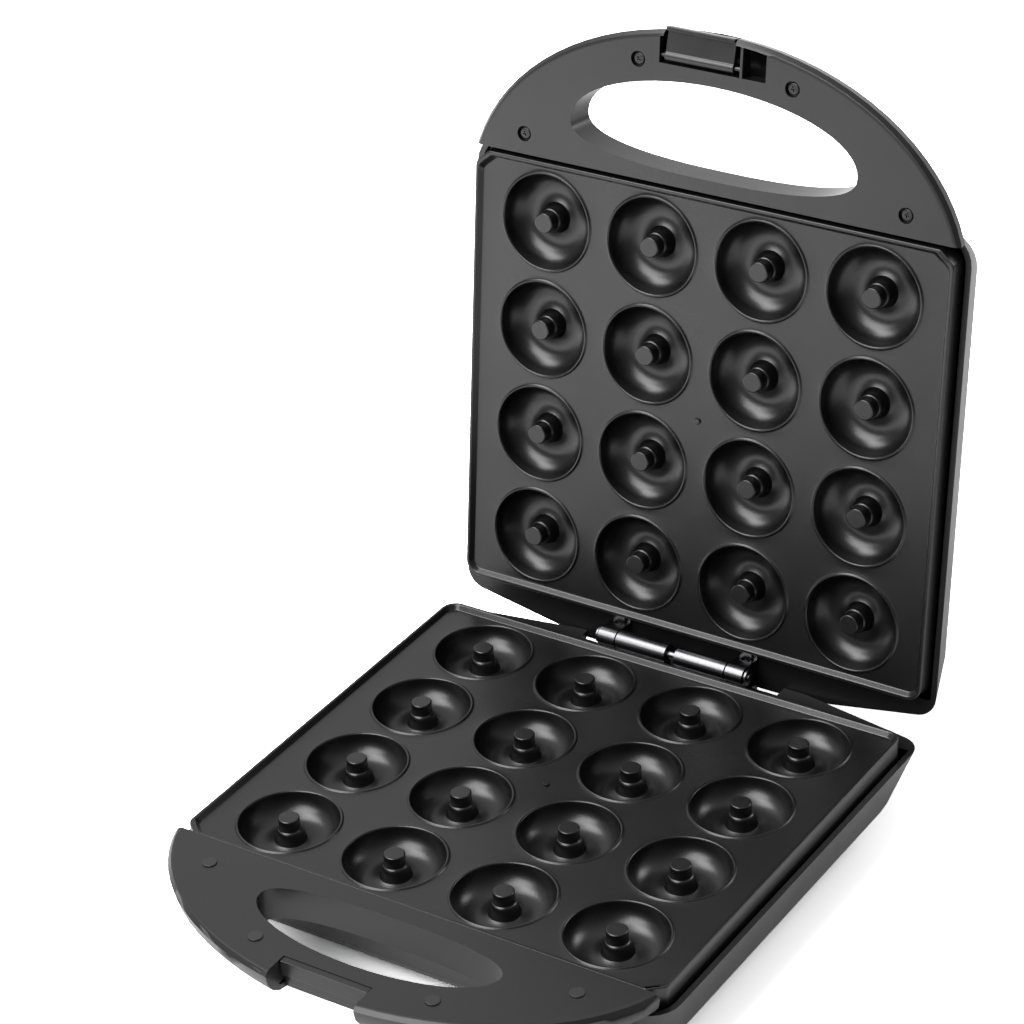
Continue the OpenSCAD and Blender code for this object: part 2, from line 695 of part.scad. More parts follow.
module hinge_barrels() color(dark_metal) base_half() translate([hinge_x, 0, 0]) difference() {
    union() {
        both_sides() {
            translate([(barrel_in + barrel_out) / 2, hinge_y, hinge_rise]) rod_x(barrel_d, barrel_len);
            translate([barrel_in, hinge_y - 1.5, lip_z + bracket_t - eps])
                cube([barrel_len, 3, hinge_rise - lip_z - bracket_t]);
        }
        translate([-barrel_out, hinge_y - barrel_d / 2 - 0.4, lip_z])
            cube([2 * barrel_out, barrel_screw_y + 2.4 - hinge_y + barrel_d / 2 + 0.4, bracket_t]);
    }
    translate([0, hinge_y, hinge_rise]) rod_x(pin_d + 2 * pin_fit, 4 * barrel_out);
    both_sides() translate([barrel_screw_x, barrel_screw_y, lip_z - 1]) cylinder(d = m25[0] + 0.3, h = 5);
}

module barrel_screws() color(metal) base_half() hinge_sides()
    translate([barrel_screw_x, barrel_screw_y, lip_z + bracket_t + m25[2]]) mirror([0, 0, 1]) screw(m25, 7);

module hinge_pin() color(dark_metal) base_half() translate([hinge_x, hinge_y, hinge_rise]) rod_x(pin_d, pin_len);

module hinge_pin_clips() color(dark_metal) base_half() hinge_sides()
    translate([ear_out + 1, hinge_y, hinge_rise]) difference() {
        rod_x(pin_d + 3.4, 0.8);
        rod_x(pin_d + 0.04, 2);
    }

// an ear in the lid's closed place: knuckle, strap up to the lid's deck, and heel that stops it
module hinge_ear(side) color(dark_metal) lid_half() translate([hinge_x, 0, 0]) mirror([side < 0 ? 1 : 0, 0, 0]) {
    axis_z = plate_gap - hinge_rise;
    heel = hinge_rise + lip_drop - 0.3;
    difference() {
        union() {
            translate([(ear_in + ear_out) / 2, hinge_y, axis_z]) rod_x(barrel_d, ear_w);
            translate([ear_in, hinge_y - barrel_d / 2, lip_z]) cube([ear_w, strap_t, axis_z - lip_z]);
            translate([ear_in, ear_screw_y - 2.5, lip_z])
                cube([ear_w, hinge_y - barrel_d / 2 + strap_t - ear_screw_y + 2.5, bracket_t]);
            translate([0, hinge_y, axis_z]) rotate([180 - open_angle, 0, 0])
                translate([ear_in + 0.5, -heel, -2.4]) cube([ear_w - 1, heel, 4.8]);
        }
        translate([(ear_in + ear_out) / 2, hinge_y, axis_z]) rod_x(pin_d + 2 * pin_fit, ear_w + 4);
        translate([ear_screw_x, ear_screw_y, lip_z - 1]) cylinder(d = m25[0] + 0.3, h = 5);
        translate([ear_screw_x, ear_screw_y, lip_z + bracket_t]) cylinder(d = m25[1] + 0.8, h = 4);
    }
}

module ear_screws() color(metal) lid_half() hinge_sides()
    translate([ear_screw_x, ear_screw_y, lip_z + bracket_t + m25[2]]) mirror([0, 0, 1]) screw(m25, 7);

// ---------------------------------------------------------------- base fittings

module foot(x, y) color(rubber) base_half() translate([x, y, floor_z]) {
    translate([0, 0, -foot_h]) cylinder(d1 = foot_d - 2, d2 = foot_d, h = foot_h);
    cylinder(d = stem_d, h = wall + 1.8);
}

module cord_bush() color(rubber) base_half() translate([inlet_x, inlet_face, inlet_z]) rotate([90, 0, 0])
    difference() {
        union() {
            translate([0, 0, -2.4]) cylinder(d = inlet_d + 5, h = 2.4);
            cylinder(d = inlet_d, h = inlet_len + 2);
        }
        translate([0, 0, -5]) cylinder(d = 7.4, h = 30);
    }

block_x = -20;
block_y = 84;
block_w = 34;
block_d = 15;
block_h = 12;

module terminal_block() color("ivory") base_half() translate([block_x, block_y, inner_floor_z]) difference() {
    translate([-block_w / 2, -block_d / 2, 0]) cube([block_w, block_d, block_h]);
    for (i = [-1, 0, 1]) translate([i * 10, 0, block_h]) {
        translate([0, 0, -6]) cylinder(d = 3.4, h = 8);
        translate([0, 0, -8]) rotate([90, 0, 0]) cylinder(d = 3, h = 40, center = true);
    }
}

module terminal_screws() color(metal) base_half() for (i = [-1, 0, 1])
    translate([block_x + i * 10, block_y, inner_floor_z + block_h - 5.9]) cylinder(d = 3, h = 4.4);

fuse_x = 30;
fuse_z = shield_z - shield_t - 2.9;
fuse_y = 20;

module thermal_fuse() color("silver") base_half()
    translate([fuse_x, fuse_y, fuse_z]) {
        rod_x(4, 14);
        rod_x(1.2, 34);
    }

module fuse_clip() color(metal) base_half() translate([fuse_x, fuse_y, fuse_z]) difference() {
    union() {
        rod_x(5.8, 6);
        translate([-3, -2.9, 0]) cube([6, 5.8, 2.9]);
    }
    rod_x(4.1, 10);
}

wire_d = 2.2;

// straight stretches of insulated wire between points, rounded at the bends
// ball turned so that its seam faces away from both runs, its poles square to them
module bead(p, a, b) {
    x = -a / norm(a) - b / norm(b);
    u = x / norm(x);
    w = cross(a, b) / norm(cross(a, b));
    v = cross(w, u);
    multmatrix([[u[0], v[0], w[0], p[0]], [u[1], v[1], w[1], p[1]], [u[2], v[2], w[2], p[2]]])
        sphere(d = wire_d * 1.5, $fn = 16);
}

// straight runs that stop just short of each bend, and a round bead over it
module wire(points) {
    last = len(points) - 2;
    for (k = [0:last]) let (a = points[k], v = points[k + 1] - a, l = norm(v),
        from = k == 0 ? 0 : wire_d / 2, to = k == last ? l : l - wire_d / 2)
        translate(a + from * v / l) rotate([0, acos(v[2] / l), atan2(v[1], v[0])])
            cylinder(d = wire_d, h = to - from, $fn = 16);
    for (k = [1:last]) bead(points[k], points[k - 1] - points[k], points[k + 1] - points[k]);
}

wire_z = inner_floor_z + wire_d * 0.75 + 0.2;
core_gap = 3;
tail_y = cup_pitch_y + heater_bend;
block_hole_z = inner_floor_z + block_h - 8;

module base_wiring() color("firebrick") base_half() {
    // feeds from the block to the heater's tails, and one to the fuse
    for (s = [-1, 1]) wire([
        [block_x + s * 10, block_y - block_d / 2 - 0.3, block_hole_z],
        [block_x + s * 10, block_y - 16, wire_z], [s * 9, 4 - tail_y, wire_z],
        [s * (tail_end + 1), -tail_y, wire_z + 6],
        [s * (tail_end + 1), -tail_y, heater_z - tail_d / 2 - 0.3]]);
    wire([[block_x, block_y - block_d / 2 - 0.3, block_hole_z], [block_x, block_y - 12, wire_z + 3],
        [fuse_x - 18.4, fuse_y, wire_z + 3], [fuse_x - 18.4, fuse_y, fuse_z]]);
    // three cores from the cord bush to the block
    for (i = [-1, 0, 1]) let (lane = block_y + block_d / 2 + 6 + i * core_gap) wire([
        [inlet_x + i * core_gap, inlet_face - inlet_len - 2.3, inlet_z],
        [inlet_x + i * core_gap, lane, inlet_z],
        [block_x + i * 10, lane, block_hole_z],
        [block_x + i * 10, block_y + block_d / 2 + 0.3, block_hole_z]]);
}

// ---------------------------------------------------------------- lid fittings

module lens(side, tint) color(tint) lid_half() lens_places(side) {
    translate([0, 0, floor_z - 0.9]) cylinder(d = lens_d + 2, h = 0.9);
    translate([0, 0, floor_z]) cylinder(d = lens_d, h = wall + 1.6);
}

lamp_z = inner_floor_z + 2;
lamp_len = 9;
board_edge = 7.5;
board_t = 1.6;
wire_drop = 8;
wire_exit = [hinge_pocket_x + 4, hinge_y - 8.2];

module lamp(side) color("orange") lid_half() lens_places(side)
    translate([0, 0, lamp_z]) cylinder(d = 5, h = lamp_len);

module lamp_board() color("darkgreen") lid_half()
    translate([-lens_x - board_edge, lens_y - board_edge, lamp_z + lamp_len])
        cube([2 * (lens_x + board_edge), 2 * board_edge, board_t]);

module lid_wiring() color("firebrick") lid_half() {
    board_z = lamp_z + lamp_len + board_t / 2;
    x = lens_x + board_edge / 2;
    y = lens_y + board_edge;
    for (s = [-1, 1]) wire([
        [s * x, y + 0.3, board_z], [s * x, y + wire_drop / 2, board_z], [s * x, y + wire_drop + 1, wire_z],
        [s * x, wire_exit[1] - 5 * wire_drop, wire_z], [s * wire_exit[0], wire_exit[1] - 2 * wire_drop, wire_z],
        [s * wire_exit[0], wire_exit[1], lip_z - wire_drop]]);
    for (s = [-1, 1]) wire([
        [s * (tail_end + 1), -tail_y, board_z + 1.8],
        [s * (tail_end + 1), -tail_y, heater_z - tail_d / 2 - 0.3]]);
}

// ---------------------------------------------------------------- pieces

base_casing();
lower_handle_cover();
bumper_discs();
lower_handle_screws();
latch_catch();
catch_screws();
color(plate_black) base_half() plate();  // lower_plate
color(metal) base_half() plate_screws();  // lower_plate_screws
color("gray") base_half() heater();  // lower_heater
color(metal) base_half() heat_shield();  // lower_heat_shield
color(metal) base_half() shield_screws();  // lower_shield_screws
color("tan") base_half() thermostat();  // lower_thermostat
thermal_fuse();
fuse_clip();
terminal_block();
terminal_screws();
cord_bush();
base_wiring();
foot(-foot_x, foot_front_y);  // foot_front_left
foot(foot_x, foot_front_y);  // foot_front_right
foot(-foot_x, foot_rear_y);  // foot_rear_left
foot(foot_x, foot_rear_y);  // foot_rear_right
hinge_barrels();
barrel_screws();
hinge_pin();
hinge_pin_clips();
lid_casing();
upper_handle_cover();
upper_handle_screws();
latch_clasp();
latch_pin();
color(plate_black) lid_half() plate();  // upper_plate
color(metal) lid_half() plate_screws();  // upper_plate_screws
color("gray") lid_half() heater();  // upper_heater
color(metal) lid_half() heat_shield();  // upper_heat_shield
color(metal) lid_half() shield_screws();  // upper_shield_screws
color("tan") lid_half() thermostat();  // upper_thermostat
hinge_ear(-1);  // hinge_ear_left
hinge_ear(1);  // hinge_ear_right
ear_screws();
lens(-1, "red");  // power_lens
lens(1, "green");  // ready_lens
lamp_board();
lamp(-1);  // power_lamp
lamp(1);  // ready_lamp
lid_wiring();
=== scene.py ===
# %% [markdown]
# # A donut maker, lesson by lesson
# The machine opens like a clam: a base on the table and a lid that leans back on
# its hinge. Each half holds a coated baking plate with sixteen ring-shaped cups.
# The CAD model gives every part its place, so it is loaded first and never moved.
# %% Load the frame
import json
import math

import bpy
from mathutils import Matrix, Vector


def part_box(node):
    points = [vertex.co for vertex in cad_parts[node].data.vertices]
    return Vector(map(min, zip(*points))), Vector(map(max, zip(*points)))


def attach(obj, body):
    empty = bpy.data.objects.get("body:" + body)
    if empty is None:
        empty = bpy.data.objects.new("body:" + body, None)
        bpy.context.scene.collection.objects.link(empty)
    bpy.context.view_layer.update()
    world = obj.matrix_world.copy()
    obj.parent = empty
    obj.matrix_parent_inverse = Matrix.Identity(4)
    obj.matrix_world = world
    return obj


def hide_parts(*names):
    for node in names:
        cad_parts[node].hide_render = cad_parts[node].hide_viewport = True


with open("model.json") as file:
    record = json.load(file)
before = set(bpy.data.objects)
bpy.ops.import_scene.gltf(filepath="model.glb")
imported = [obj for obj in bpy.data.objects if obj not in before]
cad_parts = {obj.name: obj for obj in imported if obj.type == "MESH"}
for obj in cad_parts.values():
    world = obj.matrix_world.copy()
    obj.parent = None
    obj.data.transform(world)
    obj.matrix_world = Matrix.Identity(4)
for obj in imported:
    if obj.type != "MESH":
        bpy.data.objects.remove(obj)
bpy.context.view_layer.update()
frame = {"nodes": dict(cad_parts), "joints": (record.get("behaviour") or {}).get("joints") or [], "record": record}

# %% [markdown]
# All lengths below are written in millimetres, as a maker would, and turned to
# metres by one factor. Each half is modelled flat, with the rings of its cups at
# z = 0, then stood in its place: the base simply rises, and the lid is turned face
# down and swung open about the hinge.
# %% Places of the two halves
MM = 0.001
lid_hinge = next(j for j in frame["joints"] if j["name"] == "lid_hinge")
hinge_axis = Vector(lid_hinge["pos_m"])
open_angle = math.radians(max(lid_hinge["range_deg"]))
plate_low, plate_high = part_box("lower_plate")
rim_rise = 1.5  # how far the plate's bead stands above the rings of the cups
plate_gap = 4.4  # between the rings of the two plates when the lid is shut
plate_middle = (plate_low.y + plate_high.y) / 2
ring_level = plate_high.z - rim_rise * MM
base_place = Matrix.Translation((0, plate_middle, ring_level)) @ Matrix.Scale(MM, 4)
swing_open = (Matrix.Translation(hinge_axis) @ Matrix.Rotation(-open_angle, 4, "X")
              @ Matrix.Translation(-hinge_axis))
face_down = Matrix.Translation((0, 0, plate_gap)) @ Matrix.Scale(-1, 4, (0, 0, 1))
lid_place = swing_open @ base_place @ face_down
print("rings of the base at", round(ring_level / MM, 2), "mm, hinge at", tuple(hinge_axis))

# %% [markdown]
# ## Small helpers
# An operator acts on everything that is selected, so each helper clears the
# selection first. `edit` enters edit mode with nothing picked, and `pick` selects
# vertices by a rule about their place.
# %% Selecting and editing
def only(obj):
    bpy.ops.object.select_all(action="DESELECT")
    obj.select_set(True)
    bpy.context.view_layer.objects.active = obj


def edit(obj, mode="VERT"):
    only(obj)
    bpy.ops.object.mode_set(mode="EDIT")
    bpy.ops.mesh.select_mode(type=mode)
    bpy.ops.mesh.select_all(action="DESELECT")


def done():
    bpy.ops.object.mode_set(mode="OBJECT")


def pick(obj, rule):
    bpy.ops.mesh.select_mode(type="VERT")
    bpy.ops.mesh.select_all(action="DESELECT")
    bpy.ops.object.mode_set(mode="OBJECT")
    for vertex in obj.data.vertices:
        vertex.select = rule(vertex.co)
    bpy.ops.object.mode_set(mode="EDIT")


def modify(obj, kind, **settings):
    only(obj)
    modifier = obj.modifiers.new(kind.title(), kind)
    for key, value in settings.items():
        setattr(modifier, key, value)
    bpy.ops.object.modifier_apply(modifier=modifier.name)


def count(obj):
    print(obj.name, len(obj.data.polygons), "faces")

# %% [markdown]
# A profile is drawn as a chain: one point, extruded from corner to corner. A closed
# chain is a ring, and pieces are joined and stood in their place at the end.
# %% Chains and joins
def chain(name, points, closed=False):
    bpy.ops.object.select_all(action="DESELECT")
    bpy.ops.mesh.primitive_plane_add(size=0.1, location=(0, 0, 0))
    obj = bpy.context.object
    obj.name = obj.data.name = name
    bpy.ops.object.mode_set(mode="EDIT")
    bpy.ops.mesh.select_all(action="SELECT")
    bpy.ops.mesh.merge(type="CENTER")
    here = Vector((0, 0, 0))
    bpy.ops.transform.translate(value=Vector(points[0]) - here)
    here = Vector(points[0])
    for point in points[1:]:
        bpy.ops.mesh.extrude_vertices_move(
            TRANSFORM_OT_translate={"value": Vector(point) - here})
        here = Vector(point)
    if closed:
        bpy.ops.object.mode_set(mode="OBJECT")
        obj.data.vertices[0].select = True
        obj.data.vertices[-1].select = True
        bpy.ops.object.mode_set(mode="EDIT")
        bpy.ops.mesh.edge_face_add()
    bpy.ops.object.mode_set(mode="OBJECT")
    for vertex, point in zip(obj.data.vertices, points):
        vertex.co = point
    return obj


def join(name, *objs):
    bpy.ops.object.select_all(action="DESELECT")
    for obj in objs:
        obj.select_set(True)
    bpy.context.view_layer.objects.active = objs[0]
    bpy.ops.object.join()
    objs[0].name = objs[0].data.name = name
    return objs[0]


def place(obj, matrix):
    """Stands a finished piece in its half and leaves its object at the origin."""
    only(obj)
    obj.matrix_world = matrix
    bpy.ops.object.transform_apply(location=True, rotation=True, scale=True)
    edit(obj, "FACE")
    bpy.ops.mesh.select_all(action="SELECT")
    bpy.ops.mesh.normals_make_consistent(inside=False)
    done()


def smooth(obj, angle=35):
    only(obj)
    bpy.ops.object.shade_smooth_by_angle(angle=math.radians(angle))

# %% [markdown]
# ## The baking plates
# Each plate is one casting in aluminium. A cup is round, so its section is drawn once
# and spun. It runs inwards from the flat face: a shallow groove, a raised ring, the
# trough that shapes the dough, and the hub with its peg. The ring and the tip of the
# peg get small radii, because a coated casting never has a knife edge and those radii
# catch the light.
# %% Section of one cup
ring_r = 22.85
trough_mid, trough_r, trough_z = 11.58, 9.87, -0.53
peg_r, peg_top, peg_flat_r = 4.6, 1.9, 3.9
hub_flat_r, hub_bottom = 3.1, -12.6
face_z, under_z = -0.8, -3.0

edge = [(23.75, face_z), (23.45, face_z - 0.16), (23.15, face_z - 0.14), (22.98, -0.6),
        (ring_r, -0.3), (22.66, -0.08), (22.36, 0), (22.06, -0.06), (21.82, -0.22),
        (21.64, -0.46), (21.52, -0.8)]
trough = [(trough_mid + trough_r * math.cos(a), trough_z - trough_r * math.sin(a))
          for a in (math.radians(d) for d in range(9, 118, 9))]
hub = [(7.0, -9.2), (6.55, -8.2), (6.15, -6.4), (5.75, -4.7), (5.35, -3.95),
       (5.1, -3.6), (4.85, -3.5), (4.68, -3.3), (peg_r, -2.9), (peg_r, 1.2),
       (4.5, 1.55), (4.25, 1.8), (peg_flat_r, peg_top)]
under = [(23.6, under_z), (22.9, under_z - 0.3), (22.6, -5.6), (20.6, -9.6), (17.2, -12.0),
         (14.0, hub_bottom), (hub_flat_r, hub_bottom)]
print("cup section has", len(edge + trough + hub), "points above and", len(under), "below")

# %% [markdown]
# Spin carries a section round the cup's axis in equal steps and leaves its last copy
# on top of its first, so the doubles are merged. The small round hole left in the
# middle is closed by one face: the peg's flat tip above, the hub's floor below.
# %% Spin the cup, above and below
cup_steps = 80
weld = 0.01


def spun(name, section):
    obj = chain(name, [(r, 0, z) for r, z in section])
    edit(obj)
    bpy.ops.mesh.select_all(action="SELECT")
    bpy.ops.mesh.spin(steps=cup_steps, angle=2 * math.pi, center=(0, 0, 0), axis=(0, 0, 1))
    bpy.ops.mesh.select_all(action="SELECT")
    bpy.ops.mesh.remove_doubles(threshold=weld)
    inner_r = section[-1][0]
    pick(obj, lambda co: math.hypot(co.x, co.y) < inner_r + weld)
    bpy.ops.mesh.edge_face_add()
    done()
    return obj


cup = spun("cup", edge + trough + hub)
cup_under = spun("cup_under", under)
count(cup)
count(cup_under)

# %% [markdown]
# The round cup has to sit in a square cell of flat plate, so that sixteen cells
# make the whole field. The cup's outer edge is extruded and each new point is pushed
# straight out to the cell's border. One point falls exactly in each corner.
# %% A cell of plate round the cup
pitch_x, pitch_y = 54, 50
cell_edge_r = 23.5


def to_border(co):
    reach = min(pitch_x / 2 / max(abs(co.x), 1e-9), pitch_y / 2 / max(abs(co.y), 1e-9))
    return co.x * reach, co.y * reach


def square_off(obj):
    edit(obj)
    pick(obj, lambda co: math.hypot(co.x, co.y) > cell_edge_r)
    bpy.ops.mesh.extrude_edges_move()
    done()
    loose = [v for v in obj.data.vertices if v.select]
    for vertex in loose:
        vertex.co.x, vertex.co.y = to_border(vertex.co)
    for sx in (-1, 1):
        for sy in (-1, 1):
            goal = Vector((sx * pitch_x / 2, sy * pitch_y / 2, loose[0].co.z))
            nearest = min(loose, key=lambda v: (v.co - goal).length)
            nearest.co = goal


for piece in (cup, cup_under):
    square_off(piece)
    count(piece)

# %% [markdown]
# Two Array modifiers repeat the cell four times each way and weld the seams. The
# field is then cut to size with bisect, as its front and back border are narrow.
# %% Sixteen cups
cups_in_row = 4
field_reach = 98.8


def field(obj):
    for step in ((pitch_x, 0, 0), (0, pitch_y, 0)):
        modify(obj, "ARRAY", count=cups_in_row, use_relative_offset=False,
               use_constant_offset=True, constant_offset_displace=step,
               use_merge_vertices=True, merge_threshold=weld)
    edit(obj)
    bpy.ops.mesh.select_all(action="SELECT")
    to_middle = (1 - cups_in_row) / 2
    bpy.ops.transform.translate(value=(to_middle * pitch_x, to_middle * pitch_y, 0))
    for side in (-1, 1):
        bpy.ops.mesh.select_all(action="SELECT")
        bpy.ops.mesh.bisect(plane_co=(0, side * field_reach, 0), plane_no=(0, side, 0),
                            clear_outer=True)
    done()
    count(obj)


field(cup)
field(cup_under)

# %% [markdown]
# The plate's rim follows the casing: cut front corners and round rear ones. Its
# outline is a function of how far in it lies, so the rim's section becomes a stack
# of outlines at falling insets, lofted together: up the inner slope, over a bead
# and down the skirt.
# %% Rim and skirt
half_w, half_d = 117.4, 102.6
rear_corner_r, rear_corner_steps = 7, 8


def turn(x, y, r, start, stop, steps):
    return [(x + r * math.cos(math.radians(start + (stop - start) * k / steps)),
             y + r * math.sin(math.radians(start + (stop - start) * k / steps)))
            for k in range(steps + 1)]


def plate_ring(inset, z):
    w, d, r = half_w - inset, half_d - inset, rear_corner_r - min(inset, 4)
    side = [(w - 7.4, -d), (w - 6.7, -d + 0.15), (w - 6.1, -d + 0.5), (w - 2.1, -d + 3.9),
            (w - 0.9, -d + 5.1), (w - 0.4, -d + 5.9), (w - 0.1, -d + 6.8), (w, -d + 7.8)]
    side += turn(w - r, d - r, r, 0, 90, rear_corner_steps)
    return [(x, y, z) for x, y in side] + [(-x, y, z) for x, y in reversed(side)]


def key(co):
    return round(co[0], 3), round(co[1], 3), round(co[2], 3)


def loft(name, rings):
    obj = chain(name, rings[0], closed=True)
    for before, after in zip(rings, rings[1:]):
        goal = {key(Vector(a)): b for a, b in zip(before, after)}
        edit(obj)
        pick(obj, lambda co: key(co) in goal)
        bpy.ops.mesh.extrude_edges_move()
        done()
        for vertex in obj.data.vertices:
            if vertex.select:
                vertex.co = goal[key(vertex.co)]
    return obj


rim_section = [(3.2, face_z), (3.0, -0.72), (2.75, -0.45), (1.75, 1.1), (1.5, 1.38),
               (1.2, 1.5), (0.55, 1.5), (0.22, 1.42), (0.05, 1.2), (0, 0.85), (0, -8.5),
               (0.12, -8.85), (0.4, -9.0), (1.9, -9.0), (2.15, -8.9), (2.2, -8.6), (2.2, under_z)]
rim = loft("rim", [plate_ring(inset, z) for inset, z in rim_section])
count(rim)

# %% [markdown]
# The field and the rim now meet at the level of the plate's face, and again below.
# Both gaps are flat bands between two loops, which `fill` closes with triangles. It
# sweeps along a line and trips over points that lie level with it, so the plate is
# turned a little for the fill and then turned back.
# %% One plate, closed above and below
fill_turn = 13


def turn_flat(obj, degrees):
    only(obj)
    obj.rotation_euler.z = math.radians(degrees)
    bpy.ops.object.transform_apply(rotation=True)


def close_band(obj, level):
    turn_flat(obj, fill_turn)
    edit(obj)
    bpy.ops.mesh.select_non_manifold()
    done()
    open_edge = {v.index for v in obj.data.vertices
                 if v.select and abs(v.co.z - level) < weld}
    edit(obj)
    done()
    for index in open_edge:
        obj.data.vertices[index].select = True
    bpy.ops.object.mode_set(mode="EDIT")
    bpy.ops.mesh.fill(use_beauty=True)
    done()
    turn_flat(obj, -fill_turn)


plate = join("plate", cup, rim)
close_band(plate, face_z)
plate = join("plate", plate, cup_under)
close_band(plate, under_z)
edit(plate)
bpy.ops.mesh.select_all(action="SELECT")
bpy.ops.mesh.remove_doubles(threshold=weld / 2)
bpy.ops.mesh.select_all(action="DESELECT")
bpy.ops.mesh.select_non_manifold()
bpy.ops.mesh.fill_holes(sides=0)
bpy.ops.mesh.select_all(action="DESELECT")
bpy.ops.mesh.select_non_manifold()
done()
print("open edges left:", sum(e.select for e in plate.data.edges))
count(plate)

# %% [markdown]
# Under the plate stand the posts that the screws bite into: four for the casing's
# pillars, four longer ones for the heat shield, and a low pad for the thermostat.
# Each reaches a little way into the casting, and its blind bore is an inset face
# pushed up.
# %% Posts under the plate
post_root, bore_r, bore_depth = 1, 1.46, 4.5


def post(x, y, radius, bottom):
    top = under_z + post_root
    bpy.ops.object.select_all(action="DESELECT")
    bpy.ops.mesh.primitive_cylinder_add(vertices=32, radius=radius, depth=top - bottom,
                                        location=(x, y, (top + bottom) / 2))
    obj = bpy.context.object
    bpy.ops.object.transform_apply(location=True)
    edit(obj, "FACE")
    pick(obj, lambda co: co.z < bottom + weld)
    bpy.ops.mesh.inset(thickness=radius - bore_r)
    bpy.ops.mesh.extrude_region_move(TRANSFORM_OT_translate={"value": (0, 0, bore_depth)})
    done()
    modify(obj, "BEVEL", width=0.4, segments=2, limit_method="ANGLE",
           angle_limit=math.radians(40))
    return obj


pillar_places = ((-pitch_x, 0), (pitch_x, 0), (0, -pitch_y), (0, pitch_y))
posts = [post(x, y, radius=4.5, bottom=-9) for x, y in pillar_places]
posts += [post(x, y, radius=4.0, bottom=-20.3)
          for x in (-pitch_x, pitch_x) for y in (-pitch_y, pitch_y)]
posts.append(post(0, 0, radius=9.0, bottom=-4.4))
plate = join("plate", plate, *posts)
count(plate)

# %% [markdown]
# The coating's speckle shows on the flat, and inside the cups it is even. An attribute
# on the points, 1 in a cup and 0 outside, tells the finish later which is which.
# %% Mark the polished cups
polish = plate.data.attributes.new("polish", "FLOAT", "POINT")
offsets = [k + (1 - cups_in_row) / 2 for k in range(cups_in_row)]
cup_middles = [(along * pitch_x, across * pitch_y) for along in offsets for across in offsets]
slack = 0.05
for vertex in plate.data.vertices:
    x, y, z = vertex.co
    from_middle = min(math.hypot(x - cx, y - cy) for cx, cy in cup_middles)
    in_trough = from_middle < ring_r + slack and z < slack
    on_peg = from_middle < peg_r + slack and z < peg_top - 2 * slack
    polish.data[vertex.index].value = 1.0 if in_trough or on_peg else 0.0
print("polished points:", sum(item.value > 0 for item in polish.data))

# %% [markdown]
# Both halves carry the same plate, so it is copied once. The lower one only rises to
# its level. The upper one is mirrored face down and swung open with the lid, and its
# faces are turned outwards again. Weighted normals then follow the large flat faces,
# so a reflection runs straight across them.
# %% Two plates, each in its half
def plain_copy(obj, name):
    bpy.ops.object.select_all(action="DESELECT")
    copy = bpy.data.objects.new(name, obj.data.copy())
    bpy.context.scene.collection.objects.link(copy)
    return copy


upper_plate = plain_copy(plate, "baking_plate_upper")
lower_plate = plate
lower_plate.name = "baking_plate_lower"
for piece, where, node, body in ((lower_plate, base_place, "lower_plate", "base"),
                                 (upper_plate, lid_place, "upper_plate", "lid")):
    place(piece, where)
    smooth(piece, 40)
    modify(piece, "WEIGHTED_NORMAL", keep_sharp=True, weight=90)
    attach(piece, body)
    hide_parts(node)
    print(piece.name, [round(v / MM, 2) for v in piece.dimensions])

# %% [markdown]
# ## Moulded shells
# The casings and handle covers are injection-moulded. Their shape is already right
# in the CAD model, but its edges are knife-sharp. Each shell is copied, its loose
# triangles are welded into clean faces, and a Bevel modifier rounds only the sharp
# edges. Clamp Overlap keeps the bevel as narrow as the smallest face beside it needs,
# so the width given is the most that it may be.
# %% Round the edges of a copied CAD part
def rounded(node, name, width, body, segments=2, angle=28):
    copy = plain_copy(frame["nodes"][node], name)
    copy.data.name = name
    edit(copy)
    bpy.ops.mesh.select_all(action="SELECT")
    bpy.ops.mesh.remove_doubles(threshold=0.01 * MM)
    bpy.ops.mesh.dissolve_limited(angle_limit=math.radians(0.6))
    done()
    modify(copy, "BEVEL", width=width * MM, segments=segments, limit_method="ANGLE",
           angle_limit=math.radians(angle), use_clamp_overlap=True,
           miter_outer="MITER_ARC")
    copy.data.materials.clear()
    smooth(copy, 40)
    modify(copy, "WEIGHTED_NORMAL", keep_sharp=True, weight=80)
    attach(copy, body)
    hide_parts(node)
    count(copy)
    return copy


shells = {
    "base_casing": ("casing_lower", 0.7, "base"),
    "lid_casing": ("casing_upper", 0.7, "lid"),
    "lower_handle_cover": ("handle_face_lower", 0.9, "base"),
    "upper_handle_cover": ("handle_face_upper", 0.9, "lid"),
    "latch_catch": ("latch_catch_block", 0.3, "base"),
    "latch_clasp": ("latch_clasp_arm", 0.45, "clasp"),
}
for node, (name, width, body) in shells.items():
    shells[node] = rounded(node, name, width, body)

# %% [markdown]
# ## Small parts
# Hinge parts, feet, discs and lenses are small and turned or stamped. They get the
# same rounding with their own radii, and one more segment, as a round part shows a
# coarse bevel in its outline.
# %% Round the small parts
small = {
    "bumper_discs": ("soft_discs", 0.35, "rubber", "base"),
    "hinge_barrels": ("hinge_barrel_bracket", 0.35, "black_steel", "base"),
    "hinge_ear_left": ("hinge_ear_l", 0.3, "black_steel", "lid"),
    "hinge_ear_right": ("hinge_ear_r", 0.3, "black_steel", "lid"),
    "foot_front_left": ("rubber_foot_fl", 0.9, "rubber", "base"),
    "foot_front_right": ("rubber_foot_fr", 0.9, "rubber", "base"),
    "foot_rear_left": ("rubber_foot_rl", 0.9, "rubber", "base"),
    "foot_rear_right": ("rubber_foot_rr", 0.9, "rubber", "base"),
    "cord_bush": ("cord_inlet_bush", 0.5, "rubber", "base"),
    "power_lens": ("lens_power", 0.3, "red_lens", "lid"),
    "ready_lens": ("lens_ready", 0.3, "green_lens", "lid"),
    "hinge_pin": ("hinge_pin_rod", 0.3, "zinc_steel", "base"),
}
